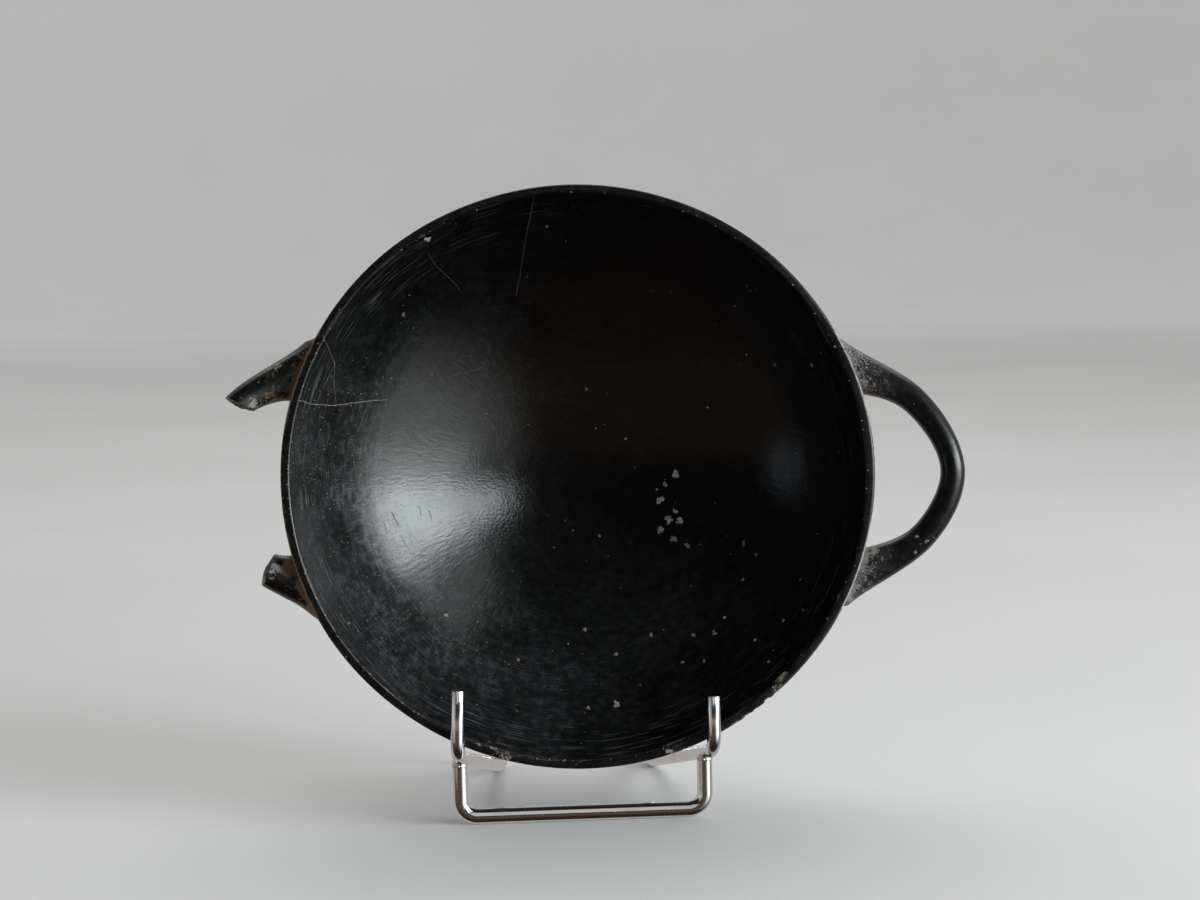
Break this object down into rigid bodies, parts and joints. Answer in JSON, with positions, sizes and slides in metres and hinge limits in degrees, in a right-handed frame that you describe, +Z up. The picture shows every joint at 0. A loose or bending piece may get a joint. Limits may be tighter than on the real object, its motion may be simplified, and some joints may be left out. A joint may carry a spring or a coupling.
{
  "type": "kylix cup on a wire easel",
  "caption": "Shallow black clay drinking cup with a low foot, a loop handle and the stumps of a broken one, leaning mouth forward in a chromed wire easel.",
  "frame": {"origin": "on the surface that the easel stands on, under the front foot's bar, midway between the two arms", "axes": "+X to the right along the handles as seen from the front, +Y from the cup's mouth to the back of the easel, +Z up"},
  "size_m": [0.1879, 0.0849, 0.1606],
  "materials": {
    "black_clay": "reduced-fired black clay, burnished to a half gloss, scratched and worn, with pale lime and earth left on it",
    "chromed_wire": "bright chrome plate on bent wire, a little scuffed"
  },
  "bodies": {
    "root": {"kylix_cup": "black_clay", "easel_left_arm": "chromed_wire", "easel_right_arm": "chromed_wire", "easel_front_foot": "chromed_wire", "easel_back_rail": "chromed_wire"}
  },
  "joints": []
}
